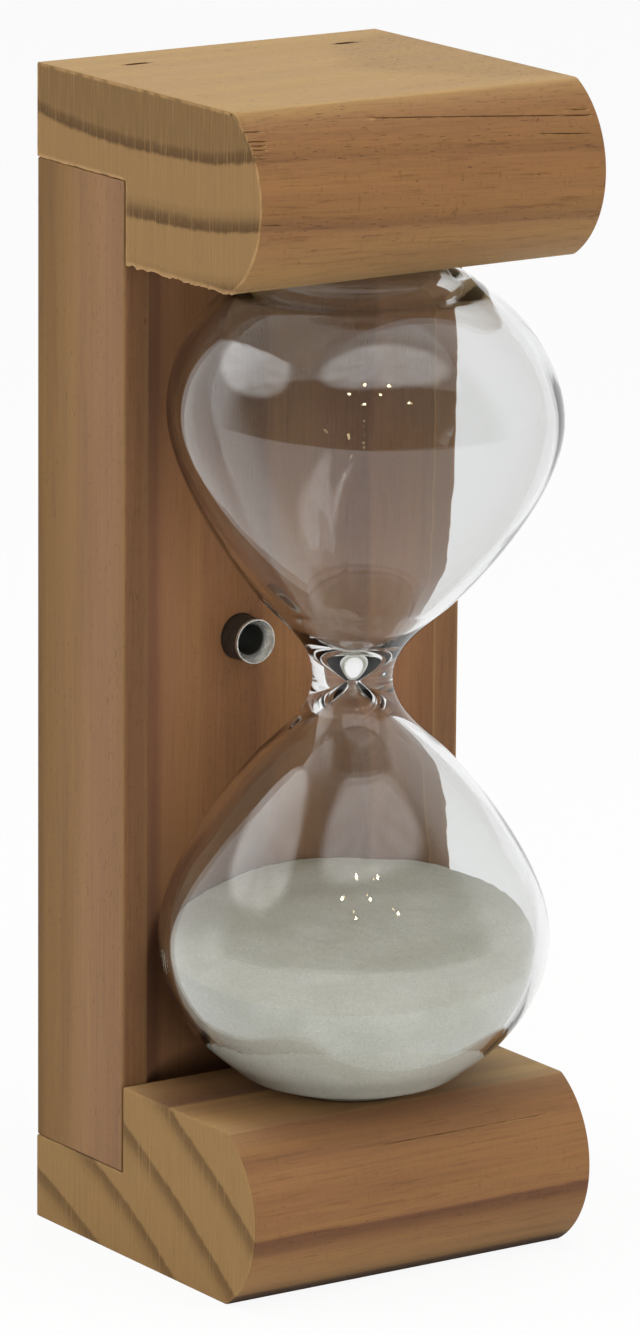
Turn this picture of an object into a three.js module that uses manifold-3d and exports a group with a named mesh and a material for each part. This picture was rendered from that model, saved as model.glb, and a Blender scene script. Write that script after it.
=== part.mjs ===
// Sauna hourglass: a blown sand glass in a wooden frame that turns over on a metal sleeve.
// Millimetres, +Z up, front towards -Y. The origin is the middle of the base block's underside.
import * as THREE from 'three';
import { mergeVertices } from 'three/addons/utils/BufferGeometryUtils.js';
import Module from 'manifold-3d';

const wasm = await Module();
wasm.setup();

// Wooden frame
const HEIGHT = 155;
const WIDTH = 52.7;
const BOARD_THICKNESS = 20.8;
const COVE_FLOOR = 8.3;
const BLOCK_DEPTH = 52.4;
const BLOCK_THICKNESS = 23;
const NOSE_RISE = 6.7;
const TOP_LEDGE = 12.3;
const BASE_LEDGE = 11.3;
const GLUE_LINE = 0.1;
const SHOULDER_GAP = 0.3;

// Blown glass, measured from its waist to one end
const BULB_RADIUS = 25.5;
const BULB_RISE = 34.5;
const FLANK_RADIUS = 11.8;
const FLANK_RISE = 9.6;
const FLANK_SLOPE = THREE.MathUtils.degToRad(43);
const THROAT_PULL = 4;
const FLANK_PULL = 3;
const SHOULDER_PULL = 9.5;
const WAIST_RADIUS = 5.2;
const ORIFICE_RADIUS = 0.65;
const GLASS_WALL = 1.2;
const FILLING_HOLE_RADIUS = 2.4;
const COVE_GAP = 0.9;
const SEAT_ENTRY = 1.5;
const SEAT_GAP = 0.3;

// Seal and sand
const SEAL_GAP = 0.3;
const SEAL_DROP = 1.4;
const SAND_GAP = 0.3;
const SAND_CROWN = 0.9;
const SAND_EDGE_POWER = 5.5;
const SAND_LEAN = THREE.MathUtils.degToRad(9.7);
const SAND_LEAN_TURN = THREE.MathUtils.degToRad(-34.1);

// Metal sleeve
const SLEEVE_RADIUS = 3;
const SLEEVE_WALL = 1;
const SLEEVE_PROUD = 3.9;
const SLEEVE_RIM = 0.2;
const SLEEVE_MOUTH_DEPTH = 1.8;
const SLEEVE_GAP = 0.3;

// Nails
const NAIL_LENGTH = 36;
const NAIL_RADIUS = 0.9;
const NAIL_HEAD_RADIUS = 1.4;
const NAIL_HEAD_HEIGHT = 1;
const NAIL_POINT = 2.7;
const NAIL_SINK = 1.2;
const NAIL_GAP = 0.3;
const NAIL_INSET = 10.2;
const NAIL_DEPTH = 8.1;

// Facets
const LARGE_SIDES = 48;
const SMALL_SIDES = 20;
const COVE_SIDES = 96;
const NOSE_STEPS = 20;
const CURVE_STEPS = 6;
const CAP_STEPS = 8;
const OVERCUT = 1;
const WELD_TOLERANCE = 1e-4;

// Places that follow from the sizes above
const REAR_Y = BLOCK_DEPTH / 2;
const BOARD_FRONT_Y = REAR_Y - BOARD_THICKNESS;
const COVE_RADIUS = BULB_RADIUS + COVE_GAP;
const GLASS_Y = REAR_Y - COVE_FLOOR - COVE_RADIUS;
const MIDDLE_Z = HEIGHT / 2;
const HALF_GLASS = MIDDLE_Z - BLOCK_THICKNESS + SEAT_ENTRY;
const CAP_RISE = HALF_GLASS - BULB_RISE;
const SEAT_RADIUS = ellipseRadius(BULB_RADIUS, CAP_RISE, CAP_RISE - SEAT_ENTRY) + SEAT_GAP;
const NAIL_X = WIDTH / 2 - NAIL_INSET;
const NAIL_Y = REAR_Y - NAIL_DEPTH;
const NAIL_REACH = NAIL_SINK + NAIL_LENGTH;

// Radius of an upright half ellipse at a height above its widest line
function ellipseRadius(radius, rise, height) {
  return radius * Math.sqrt(1 - (height / rise) ** 2);
}

// Height above the widest line at which an upright half ellipse has a given radius
function ellipseHeight(radius, rise, at) {
  return rise * Math.sqrt(1 - (at / radius) ** 2);
}

// Shared corners joined, and triangles that close up to a line left out
function welded(geometry) {
  geometry.deleteAttribute('normal');
  geometry.deleteAttribute('uv');
  const joined = mergeVertices(geometry, WELD_TOLERANCE);
  const corners = joined.index.array;
  const kept = [];
  for (let i = 0; i < corners.length; i += 3) {
    const [a, b, c] = corners.slice(i, i + 3);
    if (a !== b && b !== c && c !== a) kept.push(a, b, c);
  }
  joined.setIndex(kept);
  return joined;
}

function toSolid(geometry) {
  const mesh = welded(geometry.clone());
  return new wasm.Manifold(new wasm.Mesh({
    numProp: 3,
    vertProperties: new Float32Array(mesh.attributes.position.array),
    triVerts: new Uint32Array(mesh.index.array),
  }));
}

// A geometry with each of the cutters taken out of it
function cut(geometry, cutters) {
  let solid = toSolid(geometry);
  for (const cutter of cutters) solid = solid.subtract(toSolid(cutter));
  const mesh = solid.getMesh();
  const result = new THREE.BufferGeometry();
  result.setAttribute('position', new THREE.BufferAttribute(new Float32Array(mesh.vertProperties), 3));
  result.setIndex(new THREE.BufferAttribute(new Uint32Array(mesh.triVerts), 1));
  return result;
}

// An outline of (radius, height) points turned about Z
function turned(outline, sides) {
  return welded(new THREE.LatheGeometry(outline, sides).rotateX(Math.PI / 2));
}

// A round bar along Z between two heights
function upright(radius, low, high, sides) {
  const bar = new THREE.CylinderGeometry(radius, radius, high - low, sides);
  return bar.rotateX(Math.PI / 2).translate(0, 0, (low + high) / 2);
}

// Points along a quarter ellipse from its widest line towards its pole, the first one left out
function capPoints(radius, rise, endRadius) {
  const end = Math.acos(endRadius / radius);
  const points = [];
  for (let i = 1; i <= CAP_STEPS; i += 1) {
    const turn = (end * i) / CAP_STEPS;
    points.push(new THREE.Vector2(radius * Math.cos(turn), rise * Math.sin(turn)));
  }
  return points;
}

// Half of the glass's outside, from the waist to the widest line
function outerFlank() {
  const waist = new THREE.Vector2(WAIST_RADIUS, 0);
  const flank = new THREE.Vector2(FLANK_RADIUS, FLANK_RISE);
  const shoulder = new THREE.Vector2(BULB_RADIUS, BULB_RISE);
  const lean = new THREE.Vector2(Math.cos(FLANK_SLOPE), Math.sin(FLANK_SLOPE));
  const throat = new THREE.CubicBezierCurve(
    waist,
    new THREE.Vector2(WAIST_RADIUS, THROAT_PULL),
    flank.clone().addScaledVector(lean, -THROAT_PULL),
    flank,
  );
  return [...throat.getPoints(CURVE_STEPS), ...shoulderCurve(flank, lean, shoulder)];
}

// Half of the glass's inside: a straight funnel from the orifice, then the wall's own curve
function innerFlank() {
  const orifice = new THREE.Vector2(ORIFICE_RADIUS, 0);
  const lean = new THREE.Vector2(Math.cos(FLANK_SLOPE), Math.sin(FLANK_SLOPE));
  const inward = new THREE.Vector2(-lean.y, lean.x);
  const flank = new THREE.Vector2(FLANK_RADIUS, FLANK_RISE).addScaledVector(inward, GLASS_WALL);
  const shoulder = new THREE.Vector2(BULB_RADIUS - GLASS_WALL, BULB_RISE);
  return [orifice, flank, ...shoulderCurve(flank, lean, shoulder)];
}

// From the leaning flank up to the widest line, which it meets upright
function shoulderCurve(flank, lean, shoulder) {
  const curve = new THREE.CubicBezierCurve(
    flank,
    flank.clone().addScaledVector(lean, FLANK_PULL),
    new THREE.Vector2(shoulder.x, shoulder.y - SHOULDER_PULL),
    shoulder,
  );
  return curve.getPoints(CURVE_STEPS).slice(1);
}

// From the waist to one end: the flank, then the cap down to a hole's radius, or to the pole
function halfOutline(flank, radius, rise, endRadius) {
  const cap = capPoints(radius, rise, endRadius);
  return [...flank, ...cap.map((point) => new THREE.Vector2(point.x, BULB_RISE + point.y))];
}

function mirrored(outline) {
  return outline.map((point) => new THREE.Vector2(point.x, -point.y));
}

// The vial's wall, from the lower pole up the outside, through the filling hole and down the inside
function glassVial() {
  const inRadius = BULB_RADIUS - GLASS_WALL;
  const inRise = CAP_RISE - GLASS_WALL;
  const outLow = mirrored(halfOutline(outerFlank(), BULB_RADIUS, CAP_RISE, 0)).reverse();
  const outHigh = halfOutline(outerFlank(), BULB_RADIUS, CAP_RISE, FILLING_HOLE_RADIUS);
  const inHigh = halfOutline(innerFlank(), inRadius, inRise, FILLING_HOLE_RADIUS).reverse();
  const inLow = mirrored(halfOutline(innerFlank(), inRadius, inRise, 0));
  const outline = [...outLow, ...outHigh.slice(1), ...inHigh, ...inLow.slice(1)];
  return turned(outline, LARGE_SIDES);
}

// The fused drop in the filling hole, flush with the end of the vial
function glassSeal() {
  const radius = FILLING_HOLE_RADIUS - SEAL_GAP;
  const insideZ = BULB_RISE + ellipseHeight(BULB_RADIUS - GLASS_WALL, CAP_RISE - GLASS_WALL, radius);
  const outsideZ = BULB_RISE + ellipseHeight(BULB_RADIUS, CAP_RISE, radius);
  const drop = capPoints(radius, SEAL_DROP, 0).reverse();
  const outline = [
    ...drop.map((point) => new THREE.Vector2(point.x, insideZ - point.y)),
    new THREE.Vector2(radius, insideZ),
    new THREE.Vector2(radius, outsideZ),
    new THREE.Vector2(0, HALF_GLASS),
  ];
  return turned(outline, SMALL_SIDES);
}

// What lies above the settled sand: its underside is slightly crowned and leans up to the rear
function aboveSand(radius) {
  const crown = [];
  for (let i = 0; i <= CAP_STEPS; i += 1) {
    const share = i / CAP_STEPS;
    crown.push(new THREE.Vector2(radius * share, SAND_CROWN * (1 - share ** SAND_EDGE_POWER)));
  }
  const outline = [
    ...crown,
    new THREE.Vector2(radius * 2, 0),
    new THREE.Vector2(radius * 2, BULB_RISE),
    new THREE.Vector2(0, BULB_RISE),
  ];
  return turned(outline, LARGE_SIDES).rotateX(SAND_LEAN).rotateZ(SAND_LEAN_TURN);
}

// The sand fills the inside of the lower bulb about as far as its widest line
function sandFill() {
  const radius = BULB_RADIUS - GLASS_WALL - SAND_GAP;
  const rise = CAP_RISE - GLASS_WALL - SAND_GAP;
  const wall = innerFlank().slice(1).map((point) => new THREE.Vector2(point.x - SAND_GAP, point.y));
  const inside = mirrored(halfOutline(wall, radius, rise, 0)).reverse();
  const ceiling = new THREE.Vector2(0, inside[inside.length - 1].y);
  const filled = turned([...inside, ceiling], LARGE_SIDES).translate(0, 0, BULB_RISE);
  return cut(filled, [aboveSand(radius)]).translate(0, GLASS_Y, MIDDLE_Z - BULB_RISE);
}

// A nail from its sunk head down to its point, with its hole's mouth at height 0
function nail() {
  const outline = [
    new THREE.Vector2(0, -NAIL_REACH),
    new THREE.Vector2(NAIL_RADIUS, -NAIL_REACH + NAIL_POINT),
    new THREE.Vector2(NAIL_RADIUS, -NAIL_SINK - NAIL_HEAD_HEIGHT),
    new THREE.Vector2(NAIL_HEAD_RADIUS, -NAIL_SINK - NAIL_HEAD_HEIGHT / 2),
    new THREE.Vector2(NAIL_HEAD_RADIUS, -NAIL_SINK),
    new THREE.Vector2(0, -NAIL_SINK),
  ];
  return turned(outline, SMALL_SIDES);
}

// The hole that a nail lies in: a punched mouth for its head and a bore for its shank
function nailHole() {
  const shank = NAIL_RADIUS + NAIL_GAP;
  const mouth = NAIL_HEAD_RADIUS + NAIL_GAP;
  const floor = -NAIL_SINK - NAIL_HEAD_HEIGHT - NAIL_GAP;
  const outline = [
    new THREE.Vector2(0, -NAIL_REACH - NAIL_GAP),
    new THREE.Vector2(shank, -NAIL_REACH - NAIL_GAP),
    new THREE.Vector2(shank, floor),
    new THREE.Vector2(mouth, floor),
    new THREE.Vector2(mouth, OVERCUT),
    new THREE.Vector2(0, OVERCUT),
  ];
  return turned(outline, SMALL_SIDES);
}

// The four nail places: the left and right of each end, with the head outwards
function atNail(geometry, side, atTop) {
  if (!atTop) geometry.rotateX(Math.PI);
  return geometry.translate(side * NAIL_X, NAIL_Y, atTop ? HEIGHT : 0);
}

function nailHoles(atTop) {
  return [-1, 1].map((side) => atNail(nailHole(), side, atTop));
}

// Side view of a block with its outer face at height 0: a rabbet for the board and a rounded nose
function blockOutline(ledge) {
  const creaseY = REAR_Y - BLOCK_DEPTH + NOSE_RISE;
  const noseRadius = ((BLOCK_THICKNESS / 2) ** 2 + NOSE_RISE ** 2) / (2 * NOSE_RISE);
  const noseY = REAR_Y - BLOCK_DEPTH + noseRadius;
  const halfSweep = Math.asin(BLOCK_THICKNESS / 2 / noseRadius);
  const shoulderY = BOARD_FRONT_Y - SHOULDER_GAP;
  const outline = new THREE.Shape();
  outline.moveTo(REAR_Y, 0);
  outline.lineTo(REAR_Y, ledge);
  outline.lineTo(shoulderY, ledge);
  outline.lineTo(shoulderY, BLOCK_THICKNESS);
  outline.lineTo(creaseY, BLOCK_THICKNESS);
  outline.absarc(noseY, BLOCK_THICKNESS / 2, noseRadius, Math.PI - halfSweep, Math.PI + halfSweep);
  return outline;
}

// A block lying with its outer face at height 0, the seat for the glass drilled in its inner face
function block(ledge) {
  const alongX = new THREE.Matrix4().makeBasis(
    new THREE.Vector3(0, 1, 0),
    new THREE.Vector3(0, 0, 1),
    new THREE.Vector3(1, 0, 0),
  );
  const body = new THREE.ExtrudeGeometry(blockOutline(ledge), {
    depth: WIDTH,
    bevelEnabled: false,
    curveSegments: NOSE_STEPS,
  });
  body.applyMatrix4(alongX).translate(-WIDTH / 2, 0, 0);
  const seatFloor = BLOCK_THICKNESS - SEAT_ENTRY - SEAT_GAP;
  const seat = upright(SEAT_RADIUS, seatFloor, BLOCK_THICKNESS + OVERCUT, LARGE_SIDES);
  return cut(body, [seat.translate(0, GLASS_Y, 0), ...nailHoles(false)]);
}

function backBoard() {
  const lowZ = BASE_LEDGE + GLUE_LINE;
  const highZ = HEIGHT - TOP_LEDGE - GLUE_LINE;
  const body = new THREE.BoxGeometry(WIDTH, BOARD_THICKNESS, highZ - lowZ);
  body.translate(0, REAR_Y - BOARD_THICKNESS / 2, (lowZ + highZ) / 2);
  const cove = upright(COVE_RADIUS, lowZ - OVERCUT, highZ + OVERCUT, COVE_SIDES).translate(0, GLASS_Y, 0);
  const bore = upright(SLEEVE_RADIUS + SLEEVE_GAP, -OVERCUT, BOARD_THICKNESS, LARGE_SIDES);
  bore.rotateX(Math.PI / 2).translate(0, REAR_Y, MIDDLE_Z);
  return cut(body, [cove, bore, ...nailHoles(true), ...nailHoles(false)]);
}

// The sleeve from the board's rear face to its free rim in the cove, with a flared mouth
function pivotSleeve() {
  const boreRadius = SLEEVE_RADIUS - SLEEVE_WALL;
  const length = COVE_FLOOR + SLEEVE_PROUD;
  const outline = [
    new THREE.Vector2(boreRadius, 0),
    new THREE.Vector2(SLEEVE_RADIUS, 0),
    new THREE.Vector2(SLEEVE_RADIUS, length),
    new THREE.Vector2(SLEEVE_RADIUS - SLEEVE_RIM, length),
    new THREE.Vector2(boreRadius, length - SLEEVE_MOUTH_DEPTH),
    new THREE.Vector2(boreRadius, 0),
  ];
  return turned(outline, LARGE_SIDES).rotateX(Math.PI / 2).translate(0, REAR_Y, MIDDLE_Z);
}

function material(color, roughness, metalness) {
  return new THREE.MeshStandardMaterial({ color, roughness, metalness });
}

function piece(name, geometry, look) {
  const mesh = new THREE.Mesh(geometry, look);
  mesh.name = name;
  return mesh;
}

const hourglass = new THREE.Group();
hourglass.add(piece('back_board', backBoard(), material(0x86603f, 0.65, 0)));
hourglass.add(piece('base_block', block(BASE_LEDGE), material(0x9a7048, 0.65, 0)));
const topBlock = block(TOP_LEDGE).rotateY(Math.PI).translate(0, 0, HEIGHT);
hourglass.add(piece('top_block', topBlock, material(0xa67c50, 0.65, 0)));

const vial = new THREE.Group();
vial.position.set(0, GLASS_Y, MIDDLE_Z);
const glassLook = { transparent: true, opacity: 0.35 };
const vialMesh = piece('glass_vial', glassVial(), material(0xe6eeec, 0.05, 0));
const sealMesh = piece('glass_seal', glassSeal(), material(0xdde8e6, 0.05, 0));
for (const mesh of [vialMesh, sealMesh]) {
  mesh.material.setValues(glassLook);
  vial.add(mesh);
}
hourglass.add(vial);

hourglass.add(piece('sand', sandFill(), material(0xbdbcae, 0.95, 0)));
hourglass.add(piece('pivot_sleeve', pivotSleeve(), material(0xb9bdc0, 0.25, 1)));

for (const [end, atTop] of [['top', true], ['base', false]]) {
  for (const [hand, side] of [['left', -1], ['right', 1]]) {
    hourglass.add(piece(`${end}_nail_${hand}`, atNail(nail(), side, atTop), material(0x6f6a63, 0.5, 0.9)));
  }
}

export default hourglass;
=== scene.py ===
"""Sauna hourglass: the finished surfaces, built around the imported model. Shapes are in millimetres."""
import math

import bmesh
import bpy
import numpy as np
from mathutils import Matrix, Vector, noise


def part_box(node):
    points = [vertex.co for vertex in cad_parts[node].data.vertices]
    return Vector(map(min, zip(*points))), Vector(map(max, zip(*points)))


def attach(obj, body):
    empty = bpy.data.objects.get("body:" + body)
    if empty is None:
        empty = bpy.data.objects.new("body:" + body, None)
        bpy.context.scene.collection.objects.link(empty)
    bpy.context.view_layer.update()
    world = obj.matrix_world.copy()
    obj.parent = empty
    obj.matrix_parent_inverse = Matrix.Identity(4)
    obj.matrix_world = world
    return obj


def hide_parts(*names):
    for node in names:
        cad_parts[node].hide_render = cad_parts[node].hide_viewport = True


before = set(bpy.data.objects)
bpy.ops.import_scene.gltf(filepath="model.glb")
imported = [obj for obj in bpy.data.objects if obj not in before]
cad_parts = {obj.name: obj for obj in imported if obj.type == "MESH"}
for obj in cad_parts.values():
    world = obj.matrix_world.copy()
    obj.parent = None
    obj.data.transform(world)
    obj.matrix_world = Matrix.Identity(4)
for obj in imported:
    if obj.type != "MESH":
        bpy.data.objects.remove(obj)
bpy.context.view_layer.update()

MM = 0.001


def span(node):
    """Lowest and highest corner of a CAD node, in millimetres"""
    low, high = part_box(node)
    return np.array(low) / MM, np.array(high) / MM


# Places from the frame
BOARD_LOW, BOARD_HIGH = span("back_board")
TOP_LOW, TOP_HIGH = span("top_block")
BASE_LOW, BASE_HIGH = span("base_block")
VIAL_LOW, VIAL_HIGH = span("glass_vial")
SLEEVE_LOW, SLEEVE_HIGH = span("pivot_sleeve")
LEFT_X, RIGHT_X = BOARD_LOW[0], BOARD_HIGH[0]
REAR_Y, BOARD_FRONT_Y = BOARD_HIGH[1], BOARD_LOW[1]
HEIGHT = TOP_HIGH[2]
MIDDLE_Z = HEIGHT / 2
BLOCK_THICKNESS = BASE_HIGH[2] - BASE_LOW[2]
NOSE_Y = BASE_LOW[1]
GLASS_Y = (VIAL_LOW[1] + VIAL_HIGH[1]) / 2
BULB_RADIUS = (VIAL_HIGH[0] - VIAL_LOW[0]) / 2
HALF_GLASS = (VIAL_HIGH[2] - VIAL_LOW[2]) / 2

# Wooden frame
NOSE_RISE = 6.7
SHOULDER_GAP = 0.3
GLUE_LINE = 0.1
COVE_GAP = 0.9
SEAT_RADIUS = 9.66
SEAT_DEPTH = 1.8
NAIL_X = 16.15
NAIL_Y = 18.1
NAIL_BORE_RADIUS = 1.2
NAIL_BORE_DEPTH = 37.5
NAIL_HEAD_ROOM = 1.5
NAIL_HEAD_TOP = 0.9
NAIL_HEAD_FLOOR = 2.5
NAIL_SLIT_LENGTH = 3.6
NAIL_SLIT_WIDTH = 0.95
NAIL_SLIT_DEPTH = 0.7
NAIL_SLIT_TEAR = 0.5
NAIL_CUT_SIDES = 48
DRILL_SIDES = 96
OVERCUT = 1

# Blown glass
BULB_RISE = 34.5
FLANK_RADIUS = 11.8
FLANK_RISE = 9.6
FLANK_SLOPE = math.radians(43)
THROAT_PULL = 4.0
FLANK_PULL = 3.0
SHOULDER_PULL = 9.5
WAIST_RADIUS = 5.2
ORIFICE_RADIUS = 0.65
ORIFICE_PULL = 0.8
FUNNEL_PULL = 2.5
GLASS_WALL = 1.2
FILLING_HOLE_RADIUS = 2.4
COLLAR_RADIUS = 14.2
COLLAR_WIDTH = 1.5
COLLAR_OUTSIDE = 0.34
COLLAR_INSIDE = -0.2
UPPER_LEAN = np.array((0.9, -1.35))
LOWER_LEAN = np.array((0.3, -0.45))
VIAL_SIDES = 156
OUTER_RIPPLE = 0.05
INNER_RIPPLE = 0.08
RIPPLE_STRETCH = (1, 1, 0.6)
RIPPLE_FREE_RADIUS = 4
RIPPLE_RUN_IN = 8
SEAL_GAP = 0.1
SEAL_DROP = 1.4
SEAL_DOME = 0.25
SEAL_STEPS = 14
SEAL_SIDES = 48

# Sand
SAND_CLEARANCE = 0.05
SAND_PRESS = 0.15
SAND_PRESS_HEIGHT = 6.3
SAND_PRESS_LEAN = 5.0
SAND_RIM_Z = 43.0
SAND_TILT = 0.171
SAND_TILT_TURN = math.radians(-34.131)
SAND_CROWN = 0.9
SAND_EDGE_POWER = 5.5
SAND_BOWL_RISE = 6
SAND_SIDES = 144
SAND_WALL_RINGS = 48
SAND_TOP_RINGS = 60
SAND_RIM_PASSES = 6

# Sleeve
SLEEVE_RADIUS = 3.0
SLEEVE_BORE = 2.0
SLEEVE_RIM = 0.2
SLEEVE_MOUTH_DEPTH = 1.8
SLEEVE_BORE_GAP = 0.1
SLEEVE_BORE_DEPTH = 16
SLEEVE_REAR_EASE = 0.15
SLEEVE_RIM_POINTS = 9
FLARE_POINTS = 12
FLARE_MOUTH_PULL = (-0.3, -0.5)
FLARE_THROAT_PULL = (0.08, 0.5)

# Photograph
IMAGE_HEIGHT = 1335
LENS_PIXELS = 8193.4
CAMERA_AZIMUTH = math.radians(-34.131)
CAMERA_ELEVATION = math.radians(13.518)
CAMERA_ROLL = math.radians(0.487)
CAMERA_DISTANCE = 1065.6
CAMERA_TARGET = np.array((0, 1.2, 77.5))
CAMERA_SHIFT = np.array((1.225, -0.845))
SENSOR_HEIGHT = 36
CLIP_START = 0.01


# Meshes

def loft(rings, wrap_rings=False):
    """Faces between closed rings of points. Open ends get a cap, and a ring of one place becomes a pole"""
    count, size = rings.shape[:2]
    index = np.arange(count * size).reshape(count, size)
    lower = index if wrap_rings else index[:-1]
    upper = np.roll(index, -1, 0) if wrap_rings else index[1:]
    quads = np.stack((lower, np.roll(lower, -1, 1), np.roll(upper, -1, 1), upper), -1)
    faces = quads.reshape(-1, 4).tolist()
    if not wrap_rings:
        faces += [index[0, ::-1].tolist(), index[-1].tolist()]
    return rings.reshape(-1, 3), faces


WELD_DISTANCE = 1e-8
NOISE_SHIFT = (17.3, 5.1, 11.7)
TO_FRONT = np.array(((1, 0, 0), (0, 0, 1), (0, -1, 0)))


def weld(mesh):
    """Joins points that coincide, drops faces without area and turns the rest outwards"""
    shell = bmesh.new()
    shell.from_mesh(mesh)
    bmesh.ops.remove_doubles(shell, verts=shell.verts, dist=WELD_DISTANCE)
    bmesh.ops.dissolve_degenerate(shell, dist=WELD_DISTANCE, edges=shell.edges)
    bmesh.ops.recalc_face_normals(shell, faces=shell.faces)
    shell.to_mesh(mesh)
    shell.free()


def make_mesh(name, points, faces, marks=None):
    """A mesh object from points in millimetres. Marks are named values, one at each point"""
    mesh = bpy.data.meshes.new(name)
    mesh.from_pydata((np.asarray(points) * MM).tolist(), [], faces)
    for mark, values in (marks or {}).items():
        layer = mesh.attributes.new(mark, "FLOAT", "POINT")
        layer.data.foreach_set("value", np.ravel(values).astype(np.float32))
    weld(mesh)
    made = bpy.data.objects.new(name, mesh)
    bpy.context.scene.collection.objects.link(made)
    return made


def smooth(piece, angle):
    """Smooth shading, with edges kept that turn by more than the angle"""
    mesh = piece.data
    mesh.polygons.foreach_set("use_smooth", np.ones(len(mesh.polygons), bool))
    mesh.set_sharp_from_angle(angle=math.radians(angle))


def cut(piece, cutters):
    """Takes the cutters out of a piece"""
    for cutter in cutters:
        change = piece.modifiers.new("cut", "BOOLEAN")
        change.operation = "DIFFERENCE"
        change.solver = "EXACT"
        change.object = cutter
    graph = bpy.context.evaluated_depsgraph_get()
    result = bpy.data.meshes.new_from_object(piece.evaluated_get(graph))
    piece.modifiers.clear()
    weld(result)
    piece.data = result
    for cutter in cutters:
        bpy.data.objects.remove(cutter)


def lathe(outline, sides):
    """Rings of an outline of (radius, height) points turned about Z"""
    turn = np.linspace(0, 2 * math.pi, sides, endpoint=False)
    radius, height = np.asarray(outline, float).T
    ring = np.stack((np.cos(turn), np.sin(turn)), -1)
    flat = radius[:, None, None] * ring[None]
    return np.dstack((flat, np.broadcast_to(height[:, None], flat.shape[:2])))


def drill(radius, low, high):
    """Rings of a round cutter about Z"""
    return lathe([(0, low), (radius, low), (radius, high), (0, high)], DRILL_SIDES)


def wave(points, scale, seed):
    """Smooth noise from -1 to 1 at each point"""
    shift = Vector([seed * step for step in NOISE_SHIFT])
    flat = np.asarray(points, float).reshape(-1, 3) * scale
    values = [noise.noise(Vector(point) + shift) for point in flat]
    return np.array(values).reshape(np.shape(points)[:-1])


def wave_along(values, scale, seed):
    """Smooth noise from -1 to 1 at places along one line"""
    values = np.asarray(values, float)
    rest = np.zeros_like(values)
    return wave(np.stack((values, rest, rest), -1), scale, seed)


def place(piece, material, body, slot, *nodes):
    """Gives a piece its material and body, and hides the CAD nodes that it replaces. The slot is not used
    """
    piece.data.materials.append(material)
    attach(piece, body)
    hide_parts(*nodes)


# Materials

class Tree:
    """Short names for the nodes of one tree"""

    def __init__(self, owner):
        owner.use_nodes = True
        self.owner = owner
        self.nodes = owner.node_tree.nodes
        self.links = owner.node_tree.links
        self.nodes.clear()

    def node(self, kind, inputs=None, **settings):
        made = self.nodes.new(kind)
        for key, value in settings.items():
            setattr(made, key, value)
        for key, value in (inputs or {}).items():
            self.feed(made.inputs[key], value)
        return made

    def feed(self, socket, value):
        """Links a socket, or sets a plain value"""
        if isinstance(value, bpy.types.NodeSocket):
            self.links.new(value, socket)
        else:
            socket.default_value = value

    def math(self, operation, a, b=0.0):
        return self.node("ShaderNodeMath", {0: a, 1: b}, operation=operation).outputs[0]

    def plus(self, a, b):
        return self.math("ADD", a, b)

    def minus(self, a, b):
        return self.math("SUBTRACT", a, b)

    def times(self, a, b):
        return self.math("MULTIPLY", a, b)

    def range(self, value, low, high, to_low=0.0, to_high=1.0):
        """A value between low and high, carried smoothly over to another range"""
        inputs = {"Value": value, "From Min": low, "From Max": high, "To Min": to_low, "To Max": to_high}
        return self.node("ShaderNodeMapRange", inputs, interpolation_type="SMOOTHSTEP").outputs["Result"]

    def mix(self, share, a, b, blend="MIX"):
        made = self.node("ShaderNodeMix", data_type="RGBA", blend_type=blend)
        self.feed(made.inputs[0], share)
        self.feed(made.inputs[6], a)
        self.feed(made.inputs[7], b)
        return made.outputs[2]

    def centred(self, value, width):
        """A value around 0.5 as one around 0, times a width"""
        return self.times(self.minus(value, 0.5), width)

    def length(self, x, y):
        flat = self.vector(x, y, 0.0)
        return self.node("ShaderNodeVectorMath", {0: flat}, operation="LENGTH").outputs["Value"]

    def vector(self, x, y, z):
        return self.node("ShaderNodeCombineXYZ", {0: x, 1: y, 2: z}).outputs[0]

    def parts(self, vector):
        return self.node("ShaderNodeSeparateXYZ", {0: vector}).outputs[:3]

    def noise(self, vector, scale=1.0, detail=2.0, roughness=0.5):
        inputs = {"Vector": vector, "Scale": scale, "Detail": detail, "Roughness": roughness}
        return self.node("ShaderNodeTexNoise", inputs).outputs["Fac"]

    def ramp(self, value, *stops):
        """Grey levels between stops of (place, level)"""
        made = self.node("ShaderNodeValToRGB", {0: value})
        points = made.color_ramp.elements
        while len(points) < len(stops):
            points.new(0.5)
        for point, (at, level) in zip(points, stops):
            point.position = at
            point.color = (level, level, level, 1)
        return made.outputs["Color"]

    def mark(self, name):
        """A mesh's named point value"""
        return self.node("ShaderNodeAttribute", attribute_name=name).outputs["Fac"]

    def place_mm(self):
        """The place on the object as x, y and z in millimetres"""
        coordinates = self.node("ShaderNodeTexCoord").outputs["Object"]
        inputs = {0: coordinates, 3: 1 / MM}
        scaled = self.node("ShaderNodeVectorMath", inputs, operation="SCALE").outputs[0]
        return self.parts(scaled)

    def bump(self, height, distance, strength):
        inputs = {"Height": height, "Distance": distance * MM, "Strength": strength}
        return self.node("ShaderNodeBump", inputs).outputs[0]

    def end(self, shader):
        """Ends a material's tree and returns the material"""
        self.node("ShaderNodeOutputMaterial", {"Surface": shader.outputs[0]})
        return self.owner

    def surface(self, inputs):
        """Ends a material's tree with one Principled shader"""
        return self.end(self.node("ShaderNodeBsdfPrincipled", inputs))


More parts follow.
